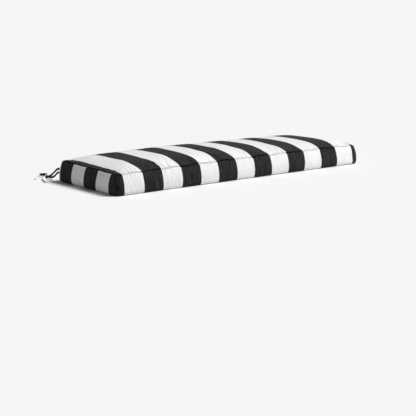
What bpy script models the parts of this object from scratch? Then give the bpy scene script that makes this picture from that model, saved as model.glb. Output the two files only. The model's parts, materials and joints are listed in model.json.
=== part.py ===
"""A boxed bench cushion with a crowned top, lying on its base, with a knotted pair of ties at each back
corner.

Metres, +Z up. The front faces -Y. The origin is the middle of the cushion's footprint, on the surface it
lies on.
"""

import math

import bpy
import numpy as np

# Driving dimensions of the cushion. The footprint is taken at the widest height of the boxing.
LENGTH = 1.122
DEPTH = 0.401
CORNER_RADIUS = 0.028
SEAM_HEIGHT = 0.0770     # top seam above the surface, at the middle of the front
SEAM_DROP = 0.0037       # how much lower the top seam is at the two ends
BACK_LEFT_RISE = 0.0045  # the top seam is higher by this much at the back left corner
BACK_RIGHT_FALL = 0.012  # and lower by this much at the back right corner, where the filling is thinner
TILT_CURVE = 1.5         # how late that rise and fall grow from the front to the back
TILT_BOXING_CURVE = 4    # and how late they grow up the boxing
SEAM_INSET = 0.0146      # the top seam is drawn in from the widest height by this much
BASE_INSET = 0.0120      # the flat base is drawn in by this much
WIDEST_SHARE = 0.28      # share of the boxing's height where it bulges most
UPPER_CURVE = 2.2        # how late the boxing draws in above that
LOWER_CURVE = 7.0        # how late it draws in below that
SEAM_LIP = 0.0012        # the boxing's upper edge stands this far outside the top seam
SEAM_SINK = 0.0014       # and the seam lies this far below it
CROWN = 0.0246           # rise of the top panel above the top seam, at the middle
CROWN_CURVE_Y = 3.9      # how late the crown falls away towards the front and the back
CROWN_CURVE_X = 13.0     # how late the crown falls away towards the two ends
UNEVEN_FILL = 0.0029     # slow rise and fall of the filling along the length
UNEVEN_WAVES = 1.3       # half waves of that rise and fall from the middle to an end

# Steps of the surface along each side, round half a corner and up the boxing.
LONG_SIDE_STEPS = 44
SHORT_SIDE_STEPS = 18
HALF_CORNER_STEPS = 3
BOXING_STEPS = 11
GRADING = 0.7            # 0 spaces the steps evenly, and 1 makes them far shorter towards the corners

# The ties: flat tapes of the same cloth.
TAPE_WIDTH = 0.0080
TAPE_THICKNESS = 0.0018
TAPE_STEP = 0.005        # distance between the sections of a tape
SURFACE_GAP = 0.0004     # a tape's lowest point above the surface
KNOT_CENTRE = (-0.5520, 0.2860)
KNOT_SIZE = (0.0210, 0.0140, 0.0100)
KNOT_UNDERSIDE = 0.42    # share of the knot's height from its middle down to its flat underside
KNOT_TURNS = 16
KNOT_SLICES = 9

CLOTH_WHITE = (0.83, 0.83, 0.80, 1.0)
CLOTH_BLACK = (0.035, 0.035, 0.036, 1.0)
CLOTH_ROUGHNESS = 0.9
SHARP_ANGLE = math.radians(40)

# Routes of the left ties, a row for each point: x, y, the height of the tape's middle, and the turn of its
# width out of the horizontal in degrees.
TIE_ROUTES = {
    "upper": (
        (-0.5518, 0.1921, 0.0455, 90),
        (-0.5526, 0.1988, 0.0450, 88),
        (-0.5536, 0.2100, 0.0402, 84),
        (-0.5542, 0.2230, 0.0312, 82),
        (-0.5548, 0.2380, 0.0212, 80),
        (-0.5553, 0.2530, 0.0128, 78),
        (-0.5557, 0.2670, 0.0076, 78),
        (-0.5559, 0.2788, 0.0048, 78),
    ),
    "lower": (
        (-0.5532, 0.1933, 0.0322, 90),
        (-0.5531, 0.1998, 0.0316, 88),
        (-0.5522, 0.2100, 0.0268, 84),
        (-0.5510, 0.2230, 0.0184, 82),
        (-0.5499, 0.2370, 0.0112, 80),
        (-0.5489, 0.2510, 0.0068, 80),
        (-0.5483, 0.2650, 0.0049, 80),
        (-0.5481, 0.2789, 0.0047, 80),
    ),
    "loop": (
        (-0.5463, 0.2930, 0.0047, 78),
        (-0.5405, 0.3030, 0.0060, 80),
        (-0.5349, 0.3141, 0.0074, 80),
        (-0.5313, 0.3267, 0.0066, 80),
        (-0.5330, 0.3357, 0.0051, 80),
        (-0.5406, 0.3408, 0.0047, 80),
        (-0.5497, 0.3391, 0.0051, 80),
        (-0.5548, 0.3315, 0.0066, 80),
        (-0.5565, 0.3186, 0.0074, 80),
        (-0.5558, 0.3062, 0.0060, 80),
        (-0.5545, 0.2947, 0.0047, 78),
    ),
    "tail_short": (
        (-0.5620, 0.2893, 0.0044, 66),
        (-0.5710, 0.2940, 0.0041, 54),
        (-0.5800, 0.2948, 0.0037, 42),
        (-0.5892, 0.2912, 0.0032, 30),
        (-0.5972, 0.2846, 0.0028, 22),
        (-0.6040, 0.2766, 0.0026, 18),
    ),
    "tail_long": (
        (-0.5611, 0.2814, 0.0044, 66),
        (-0.5706, 0.2738, 0.0043, 60),
        (-0.5800, 0.2610, 0.0040, 50),
        (-0.5885, 0.2450, 0.0037, 40),
        (-0.5958, 0.2290, 0.0033, 32),
        (-0.6014, 0.2120, 0.0030, 26),
        (-0.6050, 0.1960, 0.0027, 22),
    ),
}


def cloth(name, colour):
    """A plain woven cloth material."""
    material = bpy.data.materials.new(name)
    material.use_nodes = True
    shader = material.node_tree.nodes["Principled BSDF"]
    shader.inputs["Base Color"].default_value = colour
    shader.inputs["Roughness"].default_value = CLOTH_ROUGHNESS
    shader.inputs["Metallic"].default_value = 0.0
    return material


def add_solid(name, points, faces, material):
    """Puts a closed mesh into the scene as one smooth shaded object."""
    mesh = bpy.data.meshes.new(name)
    mesh.from_pydata([tuple(map(float, p)) for p in points], [], faces)
    mesh.update()
    mesh.shade_smooth()
    mesh.set_sharp_from_angle(angle=SHARP_ANGLE)
    mesh.materials.append(material)
    solid = bpy.data.objects.new(name, mesh)
    bpy.context.scene.collection.objects.link(solid)
    return solid


def side_nodes(half_along, half_across, radius, steps):
    """One side of a rounded rectangle, from the middle of one corner to the middle of the next.

    Returns the distance along the side and the distance across from the middle. The straight stretch's steps
    are shorter towards its ends, and the corners' halves are arcs.
    """
    even = np.linspace(-1, 1, steps + 1)
    graded = (1 - GRADING) * even + GRADING * np.sin(even * math.pi / 2)
    turn = np.linspace(0, math.pi / 4, HALF_CORNER_STEPS + 1)[1:]
    straight = half_along - radius
    arc_along = straight + radius * np.sin(turn)
    arc_across = half_across - radius + radius * np.cos(turn)
    along = np.concatenate((-arc_along[::-1], graded * straight, arc_along))
    across = np.concatenate((arc_across[::-1], np.full(steps + 1, half_across), arc_across))
    return along, across


def footprint(inset):
    """The front side's and the end side's nodes of the cushion's footprint, drawn in by an inset."""
    half_length, half_depth, radius = LENGTH / 2 - inset, DEPTH / 2 - inset, CORNER_RADIUS - inset
    front = side_nodes(half_length, half_depth, radius, LONG_SIDE_STEPS)
    end = side_nodes(half_depth, half_length, radius, SHORT_SIDE_STEPS)
    return front, end


def ring_points(inset):
    """The footprint as one anticlockwise ring of points, from the front left corner."""
    (front_x, front_y), (end_y, end_x) = footprint(inset)
    sides = ((front_x, -front_y), (end_x, end_y), (-front_x, front_y), (-end_x, -end_y))
    return np.concatenate([np.column_stack((x[:-1], y[:-1])) for x, y in sides])


def seam_height(u):
    """The top seam sinks from the middle of the front, where u is 0, towards both ends, at -1 and 1."""
    return SEAM_HEIGHT - SEAM_DROP * u ** 2


def back_tilt(u, v):
    """The top's rise at the back left and fall at the back right: c u^2 ((1 + v) / 2)^1.5 on each side."""
    return np.where(u < 0, BACK_LEFT_RISE, -BACK_RIGHT_FALL) * u ** 2 * ((1 + v) / 2) ** TILT_CURVE


def crown_height(u, v):
    """The top panel's height above the top seam: a front to back curve times an end to end curve."""
    filling = CROWN - UNEVEN_FILL * np.sin(UNEVEN_WAVES * math.pi * u)
    return filling * (1 - np.abs(v) ** CROWN_CURVE_Y) * (1 - np.abs(u) ** CROWN_CURVE_X)


def boxing_inset(share):
    """How far the boxing is drawn in at a share of its height: a bulge over a short turn to the base."""
    above = np.clip((share - WIDEST_SHARE) / (1 - WIDEST_SHARE), 0, 1)
    below = np.clip((WIDEST_SHARE - share) / WIDEST_SHARE, 0, 1)
    return (SEAM_INSET - SEAM_LIP) * above ** UPPER_CURVE + BASE_INSET * below ** LOWER_CURVE


def boxing_rings():
    """The rings of the boxing, from the flat base up to its lip, just outside the sunk top seam."""
    seam = ring_points(SEAM_INSET)
    u, v = (seam / np.abs(seam).max(axis=0)).T
    rings = []
    for step in range(BOXING_STEPS + 1):
        # The heights crowd towards the base and the seam, where the boxing turns.
        share = 0.5 - 0.5 * math.cos(math.pi * step / BOXING_STEPS)
        height = share * seam_height(u) + share ** TILT_BOXING_CURVE * back_tilt(u, v)
        rings.append(np.column_stack((ring_points(boxing_inset(share)), height)))
    return rings


def top_panel():
    """The crowned top panel as a grid of columns along X and rows along Y, whose border is the top seam.

    A column's place u and a row's place v run from -1 to 1. Each row is as wide, and each column as deep,
    as the seam's outline is there.
    """
    (front_x, front_y), (end_y, end_x) = footprint(SEAM_INSET)
    u = (front_x / front_x[-1])[:, None]
    v = (end_y / end_y[-1])[None, :]
    height = seam_height(u) + back_tilt(u, v) + crown_height(u, v)
    border = np.maximum(np.abs(u), np.abs(v)) == 1
    height = height - np.where(border, SEAM_SINK, 0)
    return np.stack((u * end_x[None, :], v * front_y[:, None], height), axis=2)


def cushion_surface():
    """Points and faces of the cushion: a flat base, the boxing and the top panel, joined along the seam."""
    rings = boxing_rings()
    count = len(rings[0])
    panel = top_panel()
    columns, rows = panel.shape[:2]
    first = len(rings) * count
    number = first + np.arange(columns * rows).reshape(columns, rows)
    # The panel's border, taken round in the same order as the rings.
    border = np.concatenate((number[:-1, 0], number[-1, :-1], number[:0:-1, -1], number[0, :0:-1]))
    loops = [np.arange(ring * count, (ring + 1) * count) for ring in range(len(rings))] + [border]
    faces = [tuple(int(i) for i in loops[0][::-1])]
    for low, high in zip(loops, loops[1:]):
        for a, b, c, d in zip(low, np.roll(low, -1), np.roll(high, -1), high):
            faces.append((int(a), int(b), int(c), int(d)))
    for i in range(columns - 1):
        for j in range(rows - 1):
            corners = (number[i, j], number[i + 1, j], number[i + 1, j + 1], number[i, j + 1])
            faces.append(tuple(int(c) for c in corners))
    return np.concatenate(rings + [panel.reshape(-1, 3)]), faces


def smooth_route(rows):
    """A smooth Catmull-Rom curve through a route's rows, with a section every TAPE_STEP."""
    rows = np.array(rows, float)
    ends = np.concatenate(([2 * rows[0] - rows[1]], rows, [2 * rows[-1] - rows[-2]]))
    sections = []
    for a, b, c, d in zip(ends, ends[1:], ends[2:], ends[3:]):
        steps = max(2, round(float(np.linalg.norm((c - b)[:3])) / TAPE_STEP))
        for t in np.arange(steps) / steps:
            square, cube = 2 * a - 5 * b + 4 * c - d, 3 * b - a - 3 * c + d
            sections.append(b + ((c - a) * t + square * t ** 2 + cube * t ** 3) / 2)
    sections.append(rows[-1])
    return np.array(sections)


def tape_solid(name, route, side, material):
    """A flat tape along a route: a six-sided section carried along the curve, turned as the rows say."""
    rows = smooth_route(route)
    path = rows[:, :3] * (side, 1, 1)
    tangent = np.gradient(path, axis=0)
    tangent /= np.linalg.norm(tangent, axis=1, keepdims=True)
    level = np.cross(tangent, (0, 0, 1))
    level /= np.linalg.norm(level, axis=1, keepdims=True)
    upright = np.cross(level, tangent)
    turn = np.radians(rows[:, 3])[:, None]
    width = level * np.cos(turn) + upright * np.sin(turn)
    normal = np.cross(width, tangent)
    half, thin = TAPE_WIDTH / 2, TAPE_THICKNESS / 2
    flat = half - thin
    section = ((half, 0), (flat, thin), (-flat, thin), (-half, 0), (-flat, -thin), (flat, -thin))
    points = np.concatenate([[p + w * a + n * b for a, b in section] for p, w, n in zip(path, width, normal)])
    count = len(section)
    faces = [tuple(range(count))]
    for start in range(0, len(points) - count, count):
        for i in range(count):
            j = (i + 1) % count
            faces.append((start + i, start + count + i, start + count + j, start + j))
    faces.append(tuple(range(len(points) - 1, len(points) - count - 1, -1)))
    return add_solid(name, points, faces, material)


def knot_solid(name, side, material):
    """The knot: a ball flattened to the knot's size, with a flat underside just above the surface."""
    polar = np.linspace(0, math.pi, KNOT_SLICES + 1)[1:-1]
    around = np.arange(KNOT_TURNS) * 2 * math.pi / KNOT_TURNS
    ring = np.stack((np.cos(around), np.sin(around)), axis=1)
    points = [(x * math.sin(a), y * math.sin(a), -math.cos(a)) for a in polar for x, y in ring]
    points += [(0, 0, -1), (0, 0, 1)]
    points = np.array(points) * (0.5 * np.array(KNOT_SIZE))
    underside = KNOT_UNDERSIDE * KNOT_SIZE[2]
    points[:, 2] = np.maximum(points[:, 2], -underside)
    points += (KNOT_CENTRE[0] * side, KNOT_CENTRE[1], underside + SURFACE_GAP)
    faces = []
    for low in range(0, (KNOT_SLICES - 2) * KNOT_TURNS, KNOT_TURNS):
        for i in range(KNOT_TURNS):
            j = (i + 1) % KNOT_TURNS
            faces.append((low + i, low + j, low + KNOT_TURNS + j, low + KNOT_TURNS + i))
    under, over = len(points) - 2, len(points) - 1
    high = (KNOT_SLICES - 2) * KNOT_TURNS
    faces += [((i + 1) % KNOT_TURNS, i, under) for i in range(KNOT_TURNS)]
    faces += [(high + i, high + (i + 1) % KNOT_TURNS, over) for i in range(KNOT_TURNS)]
    return add_solid(name, points, faces, material)


for old in list(bpy.data.objects):
    bpy.data.objects.remove(old)

striped = cloth("striped_cloth", CLOTH_WHITE)
add_solid("cushion", *cushion_surface(), striped)

tape_cloth = cloth("tape_cloth", CLOTH_BLACK)
for side_name, side in (("left", 1), ("right", -1)):
    for part_name, route in TIE_ROUTES.items():
        tape_solid(f"tie_{side_name}_{part_name}", route, side, tape_cloth)
    knot_solid(f"tie_{side_name}_knot", side, tape_cloth)
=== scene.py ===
"""The cushion's looks: striped canvas with drawn-in seams and knotted ties, on a plain pale floor."""

import json
import math

import bpy
import numpy as np
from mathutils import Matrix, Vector

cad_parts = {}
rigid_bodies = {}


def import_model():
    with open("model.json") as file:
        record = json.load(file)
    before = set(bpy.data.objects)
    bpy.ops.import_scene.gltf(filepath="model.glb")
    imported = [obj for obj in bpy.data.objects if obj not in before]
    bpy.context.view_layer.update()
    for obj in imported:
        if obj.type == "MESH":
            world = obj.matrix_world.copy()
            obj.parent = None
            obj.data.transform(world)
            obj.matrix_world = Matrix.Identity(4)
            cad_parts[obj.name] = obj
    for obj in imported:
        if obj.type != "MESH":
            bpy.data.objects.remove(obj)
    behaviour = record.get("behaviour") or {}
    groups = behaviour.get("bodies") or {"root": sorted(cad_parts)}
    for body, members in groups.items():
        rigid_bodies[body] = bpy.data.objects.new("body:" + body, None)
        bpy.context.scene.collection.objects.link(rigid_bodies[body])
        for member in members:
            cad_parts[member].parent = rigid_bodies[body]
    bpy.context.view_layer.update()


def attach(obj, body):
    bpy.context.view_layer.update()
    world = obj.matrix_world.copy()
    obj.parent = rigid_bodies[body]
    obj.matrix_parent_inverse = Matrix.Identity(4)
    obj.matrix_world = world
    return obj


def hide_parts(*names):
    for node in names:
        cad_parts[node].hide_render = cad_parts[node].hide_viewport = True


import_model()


# Camera: low in front of the left end with a long lens, at the place, angle and focal length that put the
# cushion where the photo has it.
camera_data = bpy.data.cameras.new("camera")
camera_data.sensor_width = 36.0
camera_data.lens = 112.34
camera = bpy.data.objects.new("camera", camera_data)
camera_place = (-2.8923, -3.8499, 0.8172)
camera_yaw, camera_pitch, camera_roll = math.radians(36.676), math.radians(11.217), math.radians(-0.417)
forward = np.array((math.sin(camera_yaw) * math.cos(camera_pitch),
                    math.cos(camera_yaw) * math.cos(camera_pitch), -math.sin(camera_pitch)))
level = np.array((math.cos(camera_yaw), -math.sin(camera_yaw), 0.0))
upward = np.cross(level, forward)
camera_turn = np.eye(4)
camera_turn[:3, 0] = level * math.cos(camera_roll) + upward * math.sin(camera_roll)
camera_turn[:3, 1] = upward * math.cos(camera_roll) - level * math.sin(camera_roll)
camera_turn[:3, 2] = -forward
camera_turn[:3, 3] = camera_place
camera.matrix_world = camera_turn.T
bpy.context.scene.collection.objects.link(camera)
bpy.context.scene.camera = camera


# Ties: at each back corner two flat tapes, folded and sewn from the cushion's own canvas, leave the upright
# seam one above the other and meet in a half bow that lies on the floor: a knot, one loop and two free tails.
# They are cut a little off square, so a stripe of the canvas runs 101 mm along them, and they start black.
TAPE_WIDTH = 0.0080
TAPE_THICKNESS = 0.0018
TAPE_LIFT = 0.0004       # the knot's lowest point above the floor, and twice a tape's
TAPE_STEP = 0.0016       # distance between a tape's sections
TAPE_SIDES = 28          # points round a section
TAPE_CUT = 0.80          # distance across the stripes for each metre along a tape
STRIPE_WIDTH = 0.081
# Each row is x, y, the height of the tape's middle, and the turn of its width out of the horizontal, in
# degrees.
tie_routes = {
    "upper": (
        (-0.5518, 0.1921, 0.0455, 90), (-0.5526, 0.1988, 0.0450, 88), (-0.5536, 0.2100, 0.0402, 84),
        (-0.5542, 0.2230, 0.0312, 82), (-0.5548, 0.2380, 0.0212, 80), (-0.5553, 0.2530, 0.0128, 78),
        (-0.5557, 0.2670, 0.0076, 78), (-0.5559, 0.2788, 0.0048, 78)),
    "lower": (
        (-0.5532, 0.1933, 0.0322, 90), (-0.5531, 0.1998, 0.0316, 88), (-0.5522, 0.2100, 0.0268, 84),
        (-0.5510, 0.2230, 0.0184, 82), (-0.5499, 0.2370, 0.0112, 80), (-0.5489, 0.2510, 0.0068, 80),
        (-0.5483, 0.2650, 0.0049, 80), (-0.5481, 0.2789, 0.0047, 80)),
    "loop": (
        (-0.5463, 0.2930, 0.0047, 78), (-0.5405, 0.3030, 0.0060, 80), (-0.5349, 0.3141, 0.0074, 80),
        (-0.5313, 0.3267, 0.0066, 80), (-0.5330, 0.3357, 0.0051, 80), (-0.5406, 0.3408, 0.0047, 80),
        (-0.5497, 0.3391, 0.0051, 80), (-0.5548, 0.3315, 0.0066, 80), (-0.5565, 0.3186, 0.0074, 80),
        (-0.5558, 0.3062, 0.0060, 80), (-0.5545, 0.2947, 0.0047, 78)),
    "tail_short": (
        (-0.5620, 0.2893, 0.0044, 66), (-0.5710, 0.2940, 0.0041, 54), (-0.5800, 0.2948, 0.0037, 42),
        (-0.5892, 0.2912, 0.0032, 30), (-0.5972, 0.2846, 0.0028, 22), (-0.6040, 0.2766, 0.0026, 18)),
    "tail_long": (
        (-0.5611, 0.2814, 0.0044, 66), (-0.5706, 0.2738, 0.0043, 60), (-0.5800, 0.2610, 0.0040, 50),
        (-0.5885, 0.2450, 0.0037, 40), (-0.5958, 0.2290, 0.0033, 32), (-0.6014, 0.2120, 0.0030, 26),
        (-0.6050, 0.1960, 0.0027, 22)),
}
# How much of the tape comes before each stretch, in metres, and what the stretch's far end meets.
tie_stretches = {"upper": (0.002, "knot"), "lower": (0.002, "knot"), "loop": (0.160, "knot"),
                 "tail_short": (0.306, "bare"), "tail_long": (0.1015, "bare")}
knot_centre = np.array((-0.5520, 0.2860, 0.0046))
knot_before = 0.030
core_half_sizes = (0.0084, 0.0058, 0.0034)
# Each band of the knot: its turn seen from above, its lean, its half width, its half height, and its tape's
# width as a share of the ties' own.
knot_bands = ((0.10, 0.06, 0.0093, 0.0037, 0.92), (0.72, -0.10, 0.0098, 0.0036, 0.80))


def node_group(name, inputs, outputs):
    """An empty shader node group, its sockets given as name and kind; returns it with its two end nodes."""
    group = bpy.data.node_groups.new(name, "ShaderNodeTree")
    for socket, kind in inputs:
        group.interface.new_socket(socket, in_out="INPUT", socket_type="NodeSocket" + kind)
    for socket, kind in outputs:
        group.interface.new_socket(socket, in_out="OUTPUT", socket_type="NodeSocket" + kind)
    return group, group.nodes.new("NodeGroupInput"), group.nodes.new("NodeGroupOutput")


def add_node(tree, kind, values=(), **settings):
    """A shader node with its settings, and its inputs, by number or name, from numbers or nodes' outputs."""
    node = tree.nodes.new("ShaderNode" + kind)
    for key, value in settings.items():
        setattr(node, key, value)
    for socket, value in dict(values).items():
        if isinstance(value, bpy.types.NodeSocket):
            tree.links.new(value, node.inputs[socket])
        else:
            node.inputs[socket].default_value = value
    return node


def work_out(tree, operation, *values, clamp=False):
    """The output of a math node."""
    return add_node(tree, "Math", enumerate(values), operation=operation, use_clamp=clamp).outputs[0]


def noise(tree, place, scale, detail=2.0, **values):
    """The output of a noise texture at a place."""
    values = {"Vector": place, "Scale": scale, "Detail": detail, **values}
    return add_node(tree, "TexNoise", values).outputs[0]


def draw_out(tree, place, factors):
    """A place times three factors. A pattern that reads it is drawn out where a factor is small."""
    return add_node(tree, "VectorMath", {0: place, 1: factors}, operation="MULTIPLY").outputs[0]


# Plain weave: each thread is a ridge, cos^2, and warp and weft take turns on top where cos u cos v changes
# sign.
THREAD_TONE_SCALE, THREAD_DRAW = 620.0, 0.05
weave, weave_in, weave_out = node_group(
    "plain_weave", [("Place", "Vector"), ("Pitch", "Float")], [("Height", "Float"), ("Tone", "Float")])
weave_axes = add_node(weave, "SeparateXYZ", {0: weave_in.outputs["Place"]})
ridges = [work_out(weave, "COSINE", work_out(weave, "DIVIDE", work_out(weave, "MULTIPLY", axis, math.pi),
                                             weave_in.outputs["Pitch"])) for axis in weave_axes.outputs[:2]]
warp_on_top = work_out(weave, "MULTIPLY_ADD", work_out(weave, "MULTIPLY", *ridges), 0.5, 0.5)
warp_height = work_out(weave, "MULTIPLY", work_out(weave, "MULTIPLY", ridges[0], ridges[0]), warp_on_top)
weft_height = work_out(weave, "MULTIPLY", work_out(weave, "MULTIPLY", ridges[1], ridges[1]),
                       work_out(weave, "SUBTRACT", 1.0, warp_on_top))
weave.links.new(work_out(weave, "MAXIMUM", warp_height, weft_height), weave_out.inputs["Height"])
# Every thread has its own tone: noise drawn out along the warp and along the weft.
thread_tones = [noise(weave, draw_out(weave, weave_in.outputs["Place"], factors), THREAD_TONE_SCALE)
                for factors in ((1.0, THREAD_DRAW, 1.0), (THREAD_DRAW, 1.0, 1.0))]
weave.links.new(add_node(weave, "Mix", {0: warp_on_top, 2: thread_tones[1], 3: thread_tones[0]}).outputs[0],
                weave_out.inputs["Tone"])

# Stripes: white where the nearest stripe's number is even, with an edge that wanders by a thread.
EDGE_SCALE, EDGE_WANDER, EDGE_SHARPNESS = 700.0, 0.0012, 40.0
stripes, stripes_in, stripes_out = node_group("even_stripes", [("Place", "Vector")], [("White", "Float")])
edge_noise = noise(stripes, stripes_in.outputs["Place"], EDGE_SCALE, 1.0)
stripe_place = work_out(
    stripes, "ADD", add_node(stripes, "SeparateXYZ", {0: stripes_in.outputs["Place"]}).outputs[0],
    work_out(stripes, "MULTIPLY_ADD", edge_noise, EDGE_WANDER, -EDGE_WANDER / 2))
stripe_wave = work_out(stripes, "COSINE", work_out(stripes, "MULTIPLY", stripe_place, math.pi / STRIPE_WIDTH))
stripes.links.new(work_out(stripes, "MULTIPLY_ADD", stripe_wave, EDGE_SHARPNESS, 0.5, clamp=True),
                  stripes_out.inputs["White"])

# The canvas: each kind of fleck's scale and its share of the mottle, the mottle and the colour at each dye's
# darkest and lightest, how dark the painted shade between threads makes the colour, how much the patches of
# wear move it, and how much painted shade darkens the bottoms of seams.
SLUB_SCALE, SLUB_SHARE = 210.0, 0.42
STREAK_SCALE, STREAK_SHARE, STREAK_DRAW = 230.0, 0.40, 0.07
TONE_SHARE = 0.18
BLACK_DYE = ((0.39, (0.003, 0.003, 0.0033, 1)), (0.63, (0.042, 0.042, 0.041, 1)))
WHITE_DYE = ((0.37, (0.74, 0.74, 0.735, 1)), (0.63, (0.90, 0.90, 0.895, 1)))
# Painted shade between threads: the colour at the bottom of a gap, and how much it rises to a thread's top.
GAP_TONE, THREAD_TONE = 0.90, 0.14
PATCH_SCALE, PATCH_TONE = 14.0, 0.07
# Painted shade at the bottoms of seams: the share of the colour it takes away in the black and in the white.
SEAM_SHADE_BLACK, SEAM_SHADE_WHITE = 0.98, 0.25


def canvas(name, thread_pitch, thread_depth):
    """A striped canvas that reads the UV map "cloth" in metres, with the stripes counted along u."""
    material = bpy.data.materials.new(name)
    material.use_nodes = True
    tree = material.node_tree
    shader = tree.nodes["Principled BSDF"]
    place = add_node(tree, "UVMap", uv_map="cloth").outputs[0]
    white = add_node(tree, "Group", node_tree=stripes)
    tree.links.new(place, white.inputs["Place"])
    threads = add_node(tree, "Group", node_tree=weave)
    tree.links.new(place, threads.inputs["Place"])
    threads.inputs["Pitch"].default_value = thread_pitch
    # Three kinds of fleck keep both colours from being flat: slubs of a few millimetres, streaks of thicker
    # yarn along the stripes, and the threads' own tones.
    body = add_node(tree, "TexCoord").outputs["Object"]
    slubs = noise(tree, body, SLUB_SCALE, 3.0, Roughness=0.7)
    patches = noise(tree, body, PATCH_SCALE)
    streaks = noise(tree, draw_out(tree, place, (1.0, STREAK_DRAW, 1.0)), STREAK_SCALE)
    flecks = work_out(tree, "MULTIPLY", threads.outputs["Tone"], TONE_SHARE)
    flecks = work_out(tree, "MULTIPLY_ADD", streaks, STREAK_SHARE, flecks)
    flecks = work_out(tree, "MULTIPLY_ADD", slubs, SLUB_SHARE, flecks)
    colours = []
    for dye in (BLACK_DYE, WHITE_DYE):
        ramp = add_node(tree, "ValToRGB", {0: flecks})
        for stop, (position, colour) in zip(ramp.color_ramp.elements, dye):
            stop.position, stop.color = position, colour
        colours.append(ramp.outputs[0])
    dyed = add_node(tree, "Mix", {0: white.outputs["White"], 6: colours[0], 7: colours[1]}, data_type="RGBA")
    # Painted shade between threads darkens the colour where the weave is low; the patches of wear then move
    # the tone at random.
    gap_shade = work_out(tree, "MULTIPLY_ADD", threads.outputs["Height"], THREAD_TONE, GAP_TONE)
    wear_and_gap_shade = work_out(tree, "SUBTRACT", gap_shade, PATCH_TONE / 2)
    wear_and_gap_shade = work_out(tree, "MULTIPLY_ADD", patches, PATCH_TONE, wear_and_gap_shade)
    # Painted shade: the colour is darkened at the bottom of a seam and in the furrow over the lower seam,
    # most of all in the black, which throws no light back into it.
    seam = add_node(tree, "Attribute", attribute_name="painted_seam_shade").outputs["Fac"]
    seam_shade = work_out(tree, "MULTIPLY", seam, work_out(
        tree, "MULTIPLY_ADD", white.outputs["White"], SEAM_SHADE_WHITE - SEAM_SHADE_BLACK, SEAM_SHADE_BLACK))
    lit = work_out(tree, "MULTIPLY", wear_and_gap_shade, work_out(tree, "SUBTRACT", 1.0, seam_shade))
    shaded = add_node(tree, "VectorMath", {0: dyed.outputs[2], "Scale": lit}, operation="SCALE")
    relief = {"Strength": 0.7, "Distance": thread_depth, "Height": threads.outputs["Height"]}
    bump = add_node(tree, "Bump", relief)
    tree.links.new(shaded.outputs[0], shader.inputs["Base Color"])
    tree.links.new(bump.outputs[0], shader.inputs["Normal"])
    shader.inputs["Roughness"].default_value = 0.65
    shader.inputs["Specular IOR Level"].default_value = 0.03
    shader.inputs["Sheen Weight"].default_value = 0.13
    shader.inputs["Sheen Roughness"].default_value = 0.45
    shader.inputs["Sheen Tint"].default_value = (0.86, 0.87, 0.88, 1)
    return material


def sew(name, points, faces, cloth_places, material, slot):
    """A smooth closed mesh at the origin with its UV map "cloth" in metres, riding on the one body."""
    mesh = bpy.data.meshes.new(name)
    mesh.from_pydata(np.asarray(points).tolist(), [], faces)
    mesh.uv_layers.new(name="cloth").data.foreach_set("uv", np.asarray(cloth_places, np.float32).ravel())
    mesh.shade_smooth()
    mesh.materials.append(material)
    piece = bpy.data.objects.new(name, mesh)
    bpy.context.scene.collection.objects.link(piece)
    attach(piece, "root")
    return piece


def unevenness(place, length, seed, terms=9):
    """A smooth uneven curve of about unit height: the sum of sin(2 pi place / l + phase), with seeded phases
    and with lengths l that are 0.65 to 1.7 times the given one."""
    random = np.random.default_rng(seed)
    lengths = length * random.uniform(0.65, 1.7, terms)
    phases = random.uniform(0, 2 * math.pi, terms)
    total = np.zeros_like(np.asarray(place, float))
    for wave_length, phase in zip(lengths, phases):
        total += np.sin(2 * math.pi * place / wave_length + phase)
    return total / math.sqrt(terms / 2)


def tape_path(rows):
    """Catmull-Rom curves through the rows, all four columns at once, with a section about every step."""
    rows = np.array(rows, float)
    ends = np.concatenate(([2 * rows[0] - rows[1]], rows, [2 * rows[-1] - rows[-2]]))
    spans = []
    for a, b, c, d in zip(ends, ends[1:], ends[2:], ends[3:]):
        steps = max(2, round(float(np.linalg.norm((c - b)[:3])) / TAPE_STEP))
        t = (np.arange(steps) / steps)[:, None]
        square, cube = 2 * a - 5 * b + 4 * c - d, 3 * b - a - 3 * c + d
        spans.append(b + ((c - a) * t + square * t ** 2 + cube * t ** 3) / 2)
    return np.concatenate(spans + [rows[-1:]])


def tape_section():
    """A flat tape's section: across = w/2 cos^0.55, thick = t/2 sin^0.5, with a stitched furrow near each
    edge. One edge has the slit where the folded canvas meets.
    """
    stitch_place, stitch_half, stitch_depth, slit_depth = 0.70, 0.09, 0.28, 0.0004
    angle = np.arange(TAPE_SIDES) * 2 * math.pi / TAPE_SIDES
    c, s = np.cos(angle), np.sin(angle)
    across = TAPE_WIDTH / 2 * np.sign(c) * np.abs(c) ** 0.55
    thick = TAPE_THICKNESS / 2 * np.sign(s) * np.abs(s) ** 0.5
    furrow = np.exp(-((np.abs(across) / (TAPE_WIDTH / 2) - stitch_place) / stitch_half) ** 2)
    return across - slit_depth * (np.arange(TAPE_SIDES) == 0), thick * (1 - stitch_depth * furrow)


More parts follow.
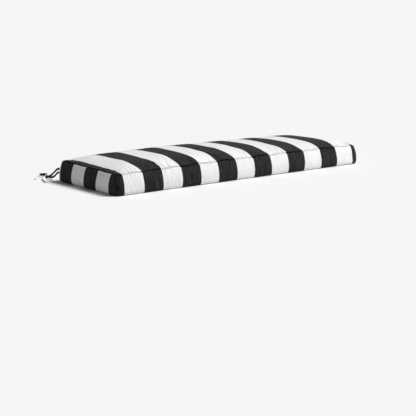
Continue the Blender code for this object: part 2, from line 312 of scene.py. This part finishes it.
def tube(sections, closed, before):
    """Faces of a tube of sections, [section, place round it], and their places on the cloth.

    u is half a stripe and the distance along the tape after what comes before, times its cut; v is the
    distance round the section.
    """
    count, sides = sections.shape[:2]
    i, j = np.meshgrid(np.arange(count if closed else count - 1), np.arange(sides), indexing="ij")
    after, beside = (i + 1) % count, (j + 1) % sides
    quads = np.stack((i * sides + j, after * sides + j, after * sides + beside, i * sides + beside), -1)
    middles = sections.mean(axis=1)
    steps = np.linalg.norm(np.roll(middles, -1, axis=0) - middles, axis=1)
    along = STRIPE_WIDTH / 2 + TAPE_CUT * (before + np.concatenate(([0], np.cumsum(steps))))
    round_steps = np.linalg.norm(np.roll(sections, -1, axis=1) - sections, axis=2).mean(axis=0)
    around = np.concatenate(([0], np.cumsum(round_steps)))
    corners = ((0, 0), (1, 0), (1, 1), (0, 1))
    places = np.stack([np.stack((along[i + di], around[j + dj]), -1) for di, dj in corners], 2)
    faces, places = quads.reshape(-1, 4).tolist(), places.reshape(-1, 2)
    if not closed:
        faces += [list(range(sides)), list(range(count * sides - 1, (count - 1) * sides - 1, -1))]
        ends = np.stack((np.repeat(along[[0, count - 1]], sides), np.tile(around[:sides], 2)), -1)
        places = np.concatenate((places, ends))
    return faces, places


def knot_windings():
    """The knot round its own middle, each winding with whether it is closed: a core, and two bands round it.

    The core is an ellipsoid of the core's half sizes. A band is the tape's section carried round an ellipse,
    which waves a little to the side, leans, and is turned.
    """
    core_slices, core_turns, core_end = 14, 24, 0.06
    band_steps, side_wave = 72, 0.0007
    width_change, width_length, width_seed = 0.08, 2.2, 31
    polar, around = np.meshgrid(np.linspace(core_end, math.pi - core_end, core_slices),
                                np.arange(core_turns) * 2 * math.pi / core_turns, indexing="ij")
    core = np.stack((np.sin(polar) * np.cos(around), -np.cos(polar), np.sin(polar) * np.sin(around)), -1)
    windings = [(core * core_half_sizes, False)]
    angle = np.arange(band_steps) * 2 * math.pi / band_steps
    across, thick = tape_section()
    for turn, lean, half_width, half_height, band_width in knot_bands:
        ring = np.stack((half_width * np.cos(angle), side_wave * np.sin(3 * angle + turn),
                         half_height * np.sin(angle)), -1)
        outward = np.stack((np.cos(angle) / half_width, 0 * angle, np.sin(angle) / half_height), -1)
        outward /= np.linalg.norm(outward, axis=1, keepdims=True)
        turned = np.array(((math.cos(turn), -math.sin(turn), 0), (math.sin(turn), math.cos(turn), 0),
                           (lean, 0, 1)))
        width = band_width * (1 + width_change * unevenness(angle, width_length, width_seed))
        windings.append((ring[:, None] @ turned.T
                         + across[None, :, None] * width[:, None, None] * (turned @ np.array((0, 1.0, 0)))
                         + thick[None, :, None] * (outward @ turned.T)[:, None], True))
    return windings


def tape_sections(rows, side, number):
    """The tape's section carried along its path, rocking and changing in width a little as it goes.

    The rock grows over the path's start. The stretch's number sets the seeds. Returns the sections, the path
    and the distance along it.
    """
    rock_degrees, rock_length, rock_start, rock_seed = 5, 0.035, 0.02, 40
    width_change, width_length, width_seed = 0.05, 0.018, 50
    path = rows[:, :3] * (side, 1, 1)
    tangent = np.gradient(path, axis=0)
    tangent /= np.linalg.norm(tangent, axis=1, keepdims=True)
    sideways = np.cross(tangent, (0, 0, 1))
    sideways /= np.linalg.norm(sideways, axis=1, keepdims=True)
    along = np.concatenate(([0], np.cumsum(np.linalg.norm(np.diff(path, axis=0), axis=1))))
    rock = (rock_degrees * np.clip(along / rock_start, 0, 1)
            * unevenness(along, rock_length, rock_seed + number))
    turn = side * np.radians(rows[:, 3] + rock)[:, None]
    broad = sideways * np.cos(turn) + np.cross(sideways, tangent) * np.sin(turn)
    across, thick = tape_section()
    width = 1 + width_change * unevenness(along, width_length, width_seed + number)
    sections = (path[:, None] + across[None, :, None] * width[:, None, None] * broad[:, None]
                + thick[None, :, None] * np.cross(broad, tangent)[:, None])
    sections[..., 2] = np.maximum(sections[..., 2], TAPE_LIFT / 2)
    return sections, path, along


tape_look = (canvas("tape_canvas", thread_pitch=0.0008, thread_depth=0.00012), "tape_cloth")
for side_name, side in (("left", 1), ("right", -1)):
    points, faces, places = [], [], []
    for winding, closed in knot_windings():
        winding = ((knot_centre + winding) * (side, 1, 1))[:, ::side]
        winding[..., 2] = np.maximum(winding[..., 2], TAPE_LIFT)
        winding_faces, winding_places = tube(winding, closed, knot_before)
        first = sum(map(len, points))
        faces += [[first + corner for corner in face] for face in winding_faces]
        points.append(winding.reshape(-1, 3))
        places.append(winding_places)
    knot = sew(f"knot_{side_name}", np.concatenate(points), faces, np.concatenate(places), *tape_look)
    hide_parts(f"tie_{side_name}_knot")

    for number, (stretch, route) in enumerate(tie_routes.items()):
        before, far_end = tie_stretches[stretch]
        sections, path, along = tape_sections(tape_path(route), side, number)
        faces, places = tube(sections, False, before)
        tape = sew(f"tape_{side_name}_{stretch}", sections.reshape(-1, 3), faces, places, *tape_look)
        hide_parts(f"tie_{side_name}_{stretch}")


# Cushion: a boxed cover of striped canvas over loose filling, sewn with plain seams and no piping. The
# filling's swell comes from a cloth simulation under pressure that starts a little flatter, with the seams
# held; the sunk seams and the gathers beside them are worked out after it.
LENGTH, DEPTH, CORNER_RADIUS = 1.122, 0.401, 0.028
SEAM_HEIGHT, SEAM_DROP = 0.0770, 0.0037
SEAM_INSET, BASE_INSET = 0.0146, 0.0120   # how far the seam and the base are drawn in from the widest line
WIDEST_SHARE = 0.28      # the widest line's share of the seam's height
UPPER_CURVE = 2.2        # how late the side draws in above that
LOWER_CURVE = 7.0        # and how late below it
SEAM_CLOSED = 0.0005     # the side ends this far outside the seam
BACK_LEFT_RISE, BACK_RIGHT_FALL = 0.0045, 0.0120
TILT_CURVE, TILT_SIDE_CURVE = 1.5, 4      # how late those grow towards the back, and up the side
CROWN, CROWN_CURVE_X, CROWN_CURVE_Y = 0.0246, 13.0, 3.9
UNEVEN_FILL, UNEVEN_WAVES = 0.0029, 1.3
FLATTER_START, FLATTER_CURVE_X, FLATTER_CURVE_Y = 0.90, 14.0, 4.6
SIDE_SLACK = 0.0015      # the side starts this far inside its shape, and the simulation fills it
MOVE_TAKEN = 0.5         # share of the simulation's moves that the cover takes
MOST_MOVE = 0.009        # and the largest of those moves that counts
CORNER_EASE = 1.16       # the cloth's length round a corner for each metre of the corner
STRAIGHT_COSINE = 0.9999999               # of the angle between the normals of two columns on a straight side
HALF_LONG, HALF_DEEP = LENGTH / 2 - SEAM_INSET, DEPTH / 2 - SEAM_INSET
CORNER_BAND = CORNER_RADIUS - SEAM_INSET


def walk_round(long_steps, short_steps, corner_steps):
    """Columns round the footprint's rounded rectangle, from the left back corner's middle by the left end,
    the front, the right end and the back.

    Returns the places, the outward normals, the distance along the cloth from the front's middle, in which a
    corner is eased and which has one value more, and the top grid's node that each column meets.
    """
    places, normals, meets = [], [], []
    bend = np.linspace(0, math.pi / 4, corner_steps + 1)[1:]
    for turn, half_along, half_across, steps in (
            (2, DEPTH / 2, LENGTH / 2, short_steps), (3, LENGTH / 2, DEPTH / 2, long_steps),
            (0, DEPTH / 2, LENGTH / 2, short_steps), (1, LENGTH / 2, DEPTH / 2, long_steps)):
        angle = np.concatenate((-bend[::-1], np.zeros(steps + 1), bend))[:-1]
        straight = (half_along - CORNER_RADIUS) * np.clip(
            (np.arange(len(angle)) - corner_steps) / steps * 2 - 1, -1, 1)
        along = straight + CORNER_RADIUS * np.sin(angle)
        out = half_across - CORNER_RADIUS * (1 - np.cos(angle))
        cos, sin = ((1, 0), (0, 1), (-1, 0), (0, -1))[turn]
        places.append(np.stack((out * cos - along * sin, out * sin + along * cos), 1))
        normals.append(np.stack((np.cos(angle) * cos - np.sin(angle) * sin,
                                 np.cos(angle) * sin + np.sin(angle) * cos), 1))
        near = np.clip(np.arange(len(angle)) - corner_steps, 0, steps)
        meets.append({0: (near * 0 + long_steps, near), 1: (long_steps - near, near * 0 + short_steps),
                      2: (near * 0, short_steps - near), 3: (near, near * 0)}[turn])
    places, normals = np.concatenate(places), np.concatenate(normals)
    columns, rows = np.concatenate(meets, axis=1)
    steps = np.linalg.norm(np.roll(places, -1, axis=0) - places, axis=1)
    turning = (normals * np.roll(normals, -1, axis=0)).sum(1) < STRAIGHT_COSINE
    steps *= np.where(turning, CORNER_EASE, 1.0)
    travelled = np.concatenate(([0], np.cumsum(steps)))
    front = slice(len(meets[0][0]), len(meets[0][0]) + len(meets[1][0]))
    travelled -= np.interp(0, places[front, 0], travelled[front])
    return places, normals, travelled, columns * (short_steps + 1) + rows


def seam_height(x):
    """The top seam's height, lowest at the two ends: h - d (x / half length)^2."""
    return SEAM_HEIGHT - SEAM_DROP * (x / HALF_LONG) ** 2


def back_tilt(x, y):
    """The top's rise at the back left and fall at the back right: c u^2 ((1 + v) / 2)^1.5 on each side."""
    u, v = np.clip(x / HALF_LONG, -1, 1), np.clip(y / HALF_DEEP, -1, 1)
    return np.where(u < 0, BACK_LEFT_RISE, -BACK_RIGHT_FALL) * u ** 2 * ((1 + v) / 2) ** TILT_CURVE


def crown_height(x, y, share, curve_x, curve_y):
    """The top's rise over its seam: a share of (c - e sin(1.3 pi u)) (1 - |v|^a) (1 - |u|^b), where u and v
    run from -1 to 1."""
    u, v = np.clip(x / HALF_LONG, -1, 1), np.clip(y / HALF_DEEP, -1, 1)
    return (share * (CROWN - UNEVEN_FILL * np.sin(UNEVEN_WAVES * math.pi * u))
            * (1 - np.abs(v) ** curve_y) * (1 - np.abs(u) ** curve_x))


def flatter_crown(x, y):
    """The top's rise before the filling swells."""
    return crown_height(x, y, FLATTER_START, FLATTER_CURVE_X, FLATTER_CURVE_Y)


def start_crown(x, y):
    """The top's rise before the moves are added, which is the flatter crown's."""
    return flatter_crown(x, y)


def boxing_inset(share, places, slack):
    """How far the side stands in from its widest line, at a share of the seam's height.

    Above and below the widest line it is a power of the distance from it. The slack is a half wave up the
    side that dies away towards the corners.
    """
    share = share[:, None]
    above = np.clip((share - WIDEST_SHARE) / (1 - WIDEST_SHARE), 0, 1)
    below = np.clip((WIDEST_SHARE - share) / WIDEST_SHARE, 0, 1)
    corner = np.abs(places[:, 0] / (LENGTH / 2)) ** 8 * np.abs(places[:, 1] / (DEPTH / 2)) ** 4
    return ((SEAM_INSET - SEAM_CLOSED) * above ** UPPER_CURVE + BASE_INSET * below ** LOWER_CURVE
            + slack * np.sin(math.pi * share) * (1 - corner))


def top_axes(long_steps, short_steps):
    """The places in x and in y of the top's grid, which ends where the corners' arcs start."""
    return (np.linspace(-1, 1, long_steps + 1) * (LENGTH / 2 - CORNER_RADIUS),
            np.linspace(-1, 1, short_steps + 1) * (DEPTH / 2 - CORNER_RADIUS))


def cover_faces(row_count, column_count, meets, long_steps, short_steps):
    """Quads between rings of points, the quads and corner triangles between the last ring and the top's grid,
    and the grid's quads. The grid's points follow the rings'."""
    row, column = np.meshgrid(np.arange(row_count - 1), np.arange(column_count), indexing="ij")
    beside = (column + 1) % column_count
    rings = np.stack((row * column_count + column, row * column_count + beside,
                      (row + 1) * column_count + beside, (row + 1) * column_count + column), -1)
    last, first = (row_count - 1) * column_count, row_count * column_count
    here = np.arange(column_count)
    after = (here + 1) % column_count
    joins = np.stack((last + here, last + after, first + meets[after], first + meets[here]), -1)
    square = meets[after] != meets[here]
    across, deep = np.meshgrid(np.arange(long_steps), np.arange(short_steps), indexing="ij")
    corner = first + across * (short_steps + 1) + deep
    grid = np.stack((corner, corner + short_steps + 1, corner + short_steps + 2, corner + 1), -1)
    return rings.reshape(-1, 4), joins[square], joins[~square][:, :3], grid.reshape(-1, 4)


def resample(values, at, places):
    """Cubic curves through values at the rising positions `at`, with central slopes, read at new places."""
    slopes = np.gradient(values, at, axis=0)
    i = np.clip(np.searchsorted(at, places) - 1, 0, len(at) - 2)
    span = (at[i + 1] - at[i]).reshape((-1,) + (1,) * (values.ndim - 1))
    t = np.clip((places - at[i]).reshape(span.shape) / span, 0, 1)
    return (values[i] * (1 + 2 * t) * (1 - t) ** 2 + slopes[i] * span * t * (1 - t) ** 2
            + values[i + 1] * t * t * (3 - 2 * t) + slopes[i + 1] * span * t * t * (t - 1))


def press(start, faces, held_points):
    """Where a cover's points end as cloth under pressure without gravity, with some points held."""
    last_frame = 20
    mesh = bpy.data.meshes.new("filling")
    mesh.from_pydata(start.tolist(), [], faces)
    filling = bpy.data.objects.new("filling", mesh)
    bpy.context.scene.collection.objects.link(filling)
    filling.vertex_groups.new(name="held").add(held_points, 1.0, "REPLACE")
    cloth = filling.modifiers.new("cloth", "CLOTH")
    cloth.settings.quality = 5
    cloth.settings.mass = 0.3
    cloth.settings.tension_stiffness = 40
    cloth.settings.compression_stiffness = 40
    cloth.settings.shear_stiffness = 20
    cloth.settings.bending_stiffness = 0.5
    cloth.settings.air_damping = 2
    cloth.settings.use_pressure = True
    cloth.settings.uniform_pressure_force = 2
    cloth.settings.effector_weights.gravity = 0
    cloth.settings.vertex_group_mass = "held"
    cloth.collision_settings.use_collision = False
    cloth.point_cache.frame_start, cloth.point_cache.frame_end = 1, last_frame
    for frame_number in range(1, last_frame + 1):
        bpy.context.scene.frame_set(frame_number)
    swollen = filling.evaluated_get(bpy.context.evaluated_depsgraph_get()).to_mesh()
    ended = np.empty(len(start) * 3, np.float32)
    swollen.vertices.foreach_get("co", ended)
    bpy.context.scene.frame_set(1)
    bpy.data.objects.remove(filling)
    bpy.data.meshes.remove(mesh)
    return ended.reshape(-1, 3)


def swell(fine_travelled, fine_shares, fine_bands, fine_x, fine_y):
    """How the filling's pressure moves the cover: a coarse copy of it, its seams held, is simulated as cloth,
    and its points' moves are read at the fine cover's places: the boxing's, the band's round the top, and the
    grid's."""
    long_steps, short_steps, corner_steps, side_steps, band_steps = 120, 40, 3, 10, 3
    places, normals, travelled, meets = walk_round(long_steps, short_steps, corner_steps)
    columns = len(places)
    shares = 0.5 - 0.5 * np.cos(math.pi * np.arange(side_steps + 1) / side_steps)
    band_edges = np.linspace(0, CORNER_BAND, band_steps + 1)
    bands = band_edges[1:-1]
    insets = np.concatenate((boxing_inset(shares[:-1], places, SIDE_SLACK),
                             SEAM_INSET + np.concatenate(([0], bands))[:, None] + np.zeros(columns)))
    heights = np.concatenate((shares, np.ones(len(bands))))
    rings = np.empty(insets.shape + (3,))
    rings[..., :2] = places - insets[..., None] * normals
    rings[..., 2] = (heights[:, None] * seam_height(rings[..., 0])
                     + heights[:, None] ** TILT_SIDE_CURVE * back_tilt(rings[..., 0], rings[..., 1]))
    rings[len(shares):, :, 2] += flatter_crown(rings[len(shares):, :, 0], rings[len(shares):, :, 1])
    x, y = top_axes(long_steps, short_steps)
    grid_x, grid_y = np.meshgrid(x, y, indexing="ij")
    grid_z = seam_height(grid_x) + back_tilt(grid_x, grid_y) + flatter_crown(grid_x, grid_y)
    grid = np.stack((grid_x, grid_y, grid_z), -1)
    start = np.concatenate((rings.reshape(-1, 3), grid.reshape(-1, 3)))
    faces = [face.tolist() for face in cover_faces(len(rings), columns, meets, long_steps, short_steps)]
    seam_first = side_steps * columns
    held = list(range(columns)) + list(range(seam_first, seam_first + columns))
    ended = press(start, sum(faces, [list(range(columns))[::-1]]), held)
    moves = MOVE_TAKEN * np.clip(ended - start, -MOST_MOVE, MOST_MOVE)
    ring_moves = moves[:rings.size // 3].reshape(rings.shape)
    grid_moves = moves[rings.size // 3:].reshape(grid.shape)
    # The columns are a closed round, so a few from each end are repeated beyond the other.
    whole, over = travelled[-1] - travelled[0], 3
    around = np.concatenate((travelled[-1 - over:-1] - whole, travelled[:-1], travelled[:over] + whole))

    def round_cover(rows):
        wrapped = np.concatenate((rows[:, -over:], rows, rows[:, :over]), axis=1)
        return np.moveaxis(resample(np.moveaxis(wrapped, 1, 0), around, fine_travelled), 0, 1)

    side_moves = resample(round_cover(ring_moves[:len(shares)]), shares, fine_shares)
    inner = grid_moves.reshape(-1, 3)[meets]
    band_rows = np.concatenate((ring_moves[len(shares) - 1:], inner[None]))
    band_moves = resample(round_cover(band_rows), band_edges, fine_bands)
    top_moves = np.moveaxis(resample(np.moveaxis(resample(grid_moves, x, fine_x), 1, 0), y, fine_y), 0, 1)
    return side_moves, band_moves, top_moves


# The gathers beside a seam: narrow creases and two longer unevennesses, and how far behind the seam each
# reaches. The creases fan out, shift by some radians, and come and go, each over a length of its own.
CREASE_PITCH, CREASE_DEPTH, CREASE_REACH = 0.0135, 0.0018, 0.042
CREASE_FAN, FAN_LENGTH = 0.30, 0.12
CREASE_SHIFT, SHIFT_LENGTH = 1.6, 0.05
CREASE_MEAN, MEAN_LENGTH, CREASE_MOST = 0.6, 0.07, 1.4
PUCKER_LENGTH, PUCKER_DEPTH, PUCKER_REACH = 0.018, 0.0008, 0.060
ROLL_LENGTH, ROLL_DEPTH, ROLL_REACH = 0.070, 0.0005, 0.090
# Seeds of the gathers, which take five from their seam's own, and the places in metres from which two seams
# are counted, so that they don't repeat the others.
UPPER_SEAM_SEED, LOWER_SEAM_SEED = 100, 120
BACK_START, LOWER_START = 3, 7


def gathers(place, behind, seed):
    """The cover's rise and fall beside a seam, from the place along the seam and the distance behind it.

    A crease is cos^4 of its place, and dies as exp(-b^1.4), while the unevennesses die as exp(-b).
    """
    fanned = place + behind * CREASE_FAN * unevenness(place, FAN_LENGTH, seed)
    crease = (0.5 + 0.5 * np.cos(2 * math.pi * fanned / CREASE_PITCH
                                 + CREASE_SHIFT * unevenness(place, SHIFT_LENGTH, seed + 1))) ** 2
    depth = np.clip(CREASE_MEAN + CREASE_MEAN * unevenness(place, MEAN_LENGTH, seed + 2), 0, CREASE_MOST)
    return (-CREASE_DEPTH * crease * depth * np.exp(-(behind / CREASE_REACH) ** 1.4)
            + PUCKER_DEPTH * unevenness(fanned, PUCKER_LENGTH, seed + 3) * np.exp(-behind / PUCKER_REACH)
            + ROLL_DEPTH * unevenness(fanned, ROLL_LENGTH, seed + 4) * np.exp(-behind / ROLL_REACH))


def top_gathers(x, y, end_start):
    """The gathers of the top's four edges together, weaker at the ends, with broad dents in the middle.

    The ends' places go on from where the end's straight seam starts.
    """
    end_share = 0.35
    dent_depth, dent_slant, dent_length, dent_width, dent_seed = 0.0005, 0.3, 0.16, 0.19, 140
    end_place = end_start + y + DEPTH / 2 - CORNER_RADIUS
    return (gathers(x, y + HALF_DEEP, UPPER_SEAM_SEED)
            + gathers(x + BACK_START, HALF_DEEP - y, UPPER_SEAM_SEED)
            + end_share * gathers(-end_place, x + HALF_LONG, UPPER_SEAM_SEED)
            + end_share * gathers(end_place, HALF_LONG - x, UPPER_SEAM_SEED)
            + dent_depth * unevenness(x + dent_slant * y, dent_length, dent_seed)
            * unevenness(y, dent_width, dent_seed + 1))


LONG_STEPS, SHORT_STEPS, CORNER_STEPS = 420, 108, 8
places, normals, travelled, meets = walk_round(LONG_STEPS, SHORT_STEPS, CORNER_STEPS)
columns = len(places)
end_columns, front_columns = SHORT_STEPS + 2 * CORNER_STEPS, LONG_STEPS + 2 * CORNER_STEPS
back_first = 2 * end_columns + front_columns
at_back = np.arange(columns) >= back_first
join_places = travelled[[0, back_first, -1]]
travelled = travelled[:-1]
end_start = float(travelled[end_columns + front_columns + CORNER_STEPS])

# The cover's section: the bottom panel's rim, the side with its furrow over the lower seam, and the top's
# band on the far side of the upper seam, each row as its inset, its share of the seam's height and its drop.
BOTTOM_RIM = 0.010
# LOW_SEAM_SHADE is how strong the painted shade in the furrow over the lower seam is, against the upper
# seam's.
LOW_SEAM_SHARE, LOW_SEAM_DEPTH, LOW_SEAM_HALF, LOW_SEAM_SHADE = 0.105, 0.0013, 0.013, 0.6
side_shares = np.array((0, 0.012, 0.03, 0.052, 0.073, 0.086, 0.096, 0.105, 0.114, 0.124, 0.137, 0.16, 0.20,
                        0.25, 0.31, 0.38, 0.45, 0.52, 0.59, 0.66, 0.73, 0.79, 0.84, 0.88, 0.910, 0.933, 0.950,
                        0.963, 0.973, 0.981, 0.9875, 0.993, 0.9975))
band_places = np.array((0.00005, 0.0003, 0.0007, 0.0011, 0.0016, 0.0022, 0.0030, 0.0042, 0.0060, 0.0082,
                        0.0106))
# The upper seam is drawn in and down between two rolls of cloth. The distance from it runs over the cloth,
# which leans, so it is a little more than the height below the seam or the distance in from it.
SEAM_SINK, SEAM_HALF, SEAM_ROLL, ROLL_PLACE, ROLL_HALF = 0.0048, 0.0022, 0.0008, 0.0052, 0.0028
SIDE_LEAN, BAND_LEAN = 1.13, 1.12
SINK_INWARD, SINK_DOWN = 0.70, 0.72
# How far from the upper seam its painted shade reaches.
SEAM_SHADE_REACH = 0.0042
seam_far = np.concatenate(((1 - side_shares) * SEAM_HEIGHT * SIDE_LEAN, band_places * BAND_LEAN))
seam_fold = (SEAM_SINK * np.exp(-(seam_far / SEAM_HALF) ** 1.5)
             - SEAM_ROLL * np.exp(-((seam_far - ROLL_PLACE) / ROLL_HALF) ** 2))
slack = SIDE_SLACK
low_seam = np.exp(-((side_shares - LOW_SEAM_SHARE) / LOW_SEAM_HALF) ** 2)
insets = np.concatenate((boxing_inset(side_shares, places, slack) + LOW_SEAM_DEPTH * low_seam[:, None],
                         (SEAM_INSET + band_places)[:, None] + np.zeros(columns)))
insets += SINK_INWARD * seam_fold[:, None]
insets = np.concatenate((np.full((1, columns), BASE_INSET + BOTTOM_RIM), insets))
shares = np.concatenate(([0], side_shares, np.ones(len(band_places))))
drops = np.concatenate(([0], -SINK_DOWN * seam_fold))
# Painted shade in the seams' folds, carried to the colour: full at the upper seam's bottom, fading over
# SEAM_SHADE_REACH, and weaker in the furrow over the lower seam.
painted_seam_shades = np.concatenate(([0], np.maximum(
    np.exp(-(seam_far / SEAM_SHADE_REACH) ** 3),
    np.concatenate((LOW_SEAM_SHADE * low_seam, np.zeros(len(band_places)))))))
side_rows = slice(1, 1 + len(side_shares))
band_rows = slice(side_rows.stop, len(insets))

top_x, top_y = top_axes(LONG_STEPS, SHORT_STEPS)
side_moves, band_moves, top_moves = swell(travelled, side_shares, band_places, top_x, top_y)
rings = np.empty(insets.shape + (3,))
rings[..., :2] = places - insets[..., None] * normals
rings[..., 2] = (shares[:, None] * seam_height(rings[..., 0]) + drops[:, None]
                 + shares[:, None] ** TILT_SIDE_CURVE * back_tilt(rings[..., 0], rings[..., 1]))
band_x, band_y = rings[band_rows, :, 0].copy(), rings[band_rows, :, 1].copy()
rings[band_rows, :, 2] += start_crown(band_x, band_y)
rings[side_rows] += side_moves
rings[band_rows] += band_moves
grid_x, grid_y = np.meshgrid(top_x, top_y, indexing="ij")
grid_z = seam_height(grid_x) + back_tilt(grid_x, grid_y) + start_crown(grid_x, grid_y)
grid = np.stack((grid_x, grid_y, grid_z), -1)
grid += top_moves

# The gathers, the joins of the strip and the seams' wandering. The side takes a share of each seam's gathers,
# which spread less far over it than over the top, and its joins are drawn in. The back's seams are counted
# apart from the strip's.
UPPER_TAKEN, UPPER_FADE, LOWER_TAKEN, LOWER_FADE = 0.32, 1.6, 0.28, 1.8
SWAY, SWAY_LENGTH, SWAY_SEED = 0.0004, 0.085, 150
JOIN_DEPTH, JOIN_HALF = 0.0015, 0.0022
WANDER, WANDER_LENGTH, WANDER_REACH, WANDER_SEED, END_WANDER = 0.0008, 0.075, 0.010, 160, 0.35
FOOT_HEIGHT, JOIN_FOOT = 0.006, 0.004     # the gathers and the joins grow from the base up to these heights
END_FACING = 0.7                          # least share of x in the normal of a column that is at an end
seam_place = np.where(at_back, places[:, 0] + BACK_START, travelled)
under = (1 - side_shares)[:, None] * SEAM_HEIGHT
over = side_shares[:, None] * SEAM_HEIGHT
row_place = np.broadcast_to(seam_place, (len(under), columns))
outward = (UPPER_TAKEN * gathers(row_place, under * UPPER_FADE, UPPER_SEAM_SEED)
           + LOWER_TAKEN * gathers(row_place + LOWER_START, over * LOWER_FADE, LOWER_SEAM_SEED)
           + SWAY * unevenness(row_place, SWAY_LENGTH, SWAY_SEED) * np.sin(math.pi * side_shares[:, None]))
outward *= np.clip(over / FOOT_HEIGHT, 0, 1)
join = np.abs(travelled - join_places[:, None]).min(axis=0)
outward -= JOIN_DEPTH * np.exp(-(join / JOIN_HALF) ** 2) * np.clip(over / JOIN_FOOT, 0, 1)
rings[side_rows, :, :2] += outward[..., None] * normals
rings[band_rows, :, 2] += top_gathers(band_x, band_y, end_start)
grid[..., 2] += top_gathers(grid_x, grid_y, end_start)
at_end = np.abs(normals[:, 0]) > END_FACING
wander = WANDER * unevenness(seam_place, WANDER_LENGTH, WANDER_SEED) * np.where(at_end, END_WANDER, 1.0)
rings[side_rows, :, 2] += wander * np.exp(-under / WANDER_REACH) * np.clip(over / WANDER_REACH, 0, 1)
rings[band_rows, :, 2] += wander * np.exp(-band_places[:, None] / WANDER_REACH)

# Places on the cloth. The top and the bottom are counted in x, the strip along itself, and the back's boxing
# in x. The stripes drift a little, and those of the strip lean a little from its middle height.
STRIP_DRIFT, STRIP_LENGTH, STRIP_SEED = 0.0010, 0.13, 170
STRIP_LEAN, LEAN_LENGTH, LEAN_SEED, LEAN_HEIGHT = 0.02, 0.30, 171, 0.04
PANEL_DRIFT, PANEL_LENGTH, PANEL_WIDTH, PANEL_SEED = 0.0009, 0.21, 0.33, 172
height_steps = np.hypot(np.diff(insets[side_rows].mean(axis=1)),
                        np.diff(side_shares * SEAM_HEIGHT + drops[side_rows]))
height_along = np.concatenate(([0], np.cumsum(height_steps)))
strip_u = travelled + STRIP_DRIFT * unevenness(travelled, STRIP_LENGTH, STRIP_SEED)
strip_v = np.concatenate(([0], height_along, np.full(len(band_places), height_along[-1])))
lean = STRIP_LEAN * unevenness(travelled, LEAN_LENGTH, LEAN_SEED)
ring_faces, join_faces, corner_faces, grid_faces = cover_faces(
    len(insets), columns, meets, LONG_STEPS, SHORT_STEPS)
points = np.concatenate((rings.reshape(-1, 3), grid.reshape(-1, 3)))
flat = np.concatenate(((places - insets[..., None] * normals).reshape(-1, 2),
                       np.stack((grid_x, grid_y), -1).reshape(-1, 2)))
flat[:, 0] += (PANEL_DRIFT * unevenness(flat[:, 0], PANEL_LENGTH, PANEL_SEED)
               * unevenness(flat[:, 1], PANEL_WIDTH, PANEL_SEED + 1))
bottom = list(range(columns))[::-1]
ring_row, ring_column = np.divmod(np.arange(len(ring_faces)), columns)
on_side = (ring_row >= side_rows.start) & (ring_row < side_rows.stop)
strip_faces = on_side & ~at_back[ring_column]
back_faces = on_side & at_back[ring_column]
face_rows = np.stack((ring_row, ring_row, ring_row + 1, ring_row + 1), 1)
face_columns = np.stack((ring_column, ring_column + 1, ring_column + 1, ring_column), 1) % columns
side_v = strip_v[face_rows]
side_u = strip_u[face_columns] + lean[face_columns] * (side_v - LEAN_HEIGHT)
ring_uv = flat[ring_faces]
ring_uv[strip_faces] = np.stack((side_u, side_v), -1)[strip_faces]
ring_uv[back_faces] = np.stack((places[:, 0][face_columns], side_v), -1)[back_faces]
cloth_places = np.concatenate((flat[bottom], ring_uv.reshape(-1, 2), flat[join_faces].reshape(-1, 2),
                               flat[corner_faces].reshape(-1, 2), flat[grid_faces].reshape(-1, 2)))
faces = [bottom] + ring_faces.tolist() + join_faces.tolist() + corner_faces.tolist() + grid_faces.tolist()
striped_canvas = canvas("striped_canvas", thread_pitch=0.0010, thread_depth=0.00015)
cushion = sew("cushion_cover", points, faces, cloth_places, striped_canvas, "striped_cloth")
# The painted seam shade rides on the cover's points; the top's grid has none.
seam_marks = np.concatenate((np.repeat(painted_seam_shades, columns), np.zeros(grid_x.size))).astype(np.float32)
cushion.data.attributes.new("painted_seam_shade", "FLOAT", "POINT").data.foreach_set("value", seam_marks)
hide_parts("cushion")


# Floor and light: a plain pale floor that fills the view, an even pale surround, and one broad soft light
# from above the front right, which leaves the left end in shade.
floor_half = 60
floor_mesh = bpy.data.meshes.new("floor")
floor_mesh.from_pydata([(-floor_half, -floor_half, 0), (floor_half, -floor_half, 0),
                        (floor_half, floor_half, 0), (-floor_half, floor_half, 0)], [], [(0, 1, 2, 3)])
floor = bpy.data.objects.new("floor", floor_mesh)
bpy.context.scene.collection.objects.link(floor)
floor_paint = bpy.data.materials.new("floor_paint")
floor_paint.use_nodes = True
floor_shader = floor_paint.node_tree.nodes["Principled BSDF"]
floor_shader.inputs["Base Color"].default_value = (0.87, 0.87, 0.87, 1)
floor_shader.inputs["Roughness"].default_value = 1.0
floor_shader.inputs["Specular IOR Level"].default_value = 0.0
floor_mesh.materials.append(floor_paint)
world = bpy.data.worlds.new("surround")
world.use_nodes = True
world.node_tree.nodes["Background"].inputs["Color"].default_value = (1.0, 1.0, 1.0, 1)
world.node_tree.nodes["Background"].inputs["Strength"].default_value = 0.15
bpy.context.scene.world = world
sun_data = bpy.data.lights.new("soft_light", "SUN")
sun_data.energy = 3.55
sun_data.angle = math.radians(24)
sun = bpy.data.objects.new("soft_light", sun_data)
sun_direction = Vector((0.64, -0.38, 1.0))
sun.rotation_euler = sun_direction.to_track_quat("Z", "Y").to_euler()
bpy.context.scene.collection.objects.link(sun)
# A low panel off the right front corner lifts that end, and is kept off the floor, so that the background
# stays even.
panel_data = bpy.data.lights.new("low_panel", "AREA")
panel_data.shape = "RECTANGLE"
panel_data.size, panel_data.size_y = 1.2, 0.6
panel_data.energy = 8
panel = bpy.data.objects.new("low_panel", panel_data)
panel.location = (1.5, -1.3, 0.5)
panel_aim = Vector((0.3, 0, 0.05))
panel.rotation_euler = (panel.location - panel_aim).to_track_quat("Z", "Y").to_euler()
bpy.context.scene.collection.objects.link(panel)
panel.light_linking.receiver_collection = bpy.data.collections.new("lit_by_panel")
for piece in bpy.context.scene.objects:
    if piece.type == "MESH" and piece != floor:
        panel.light_linking.receiver_collection.objects.link(piece)
bpy.context.scene.view_settings.view_transform = "Standard"
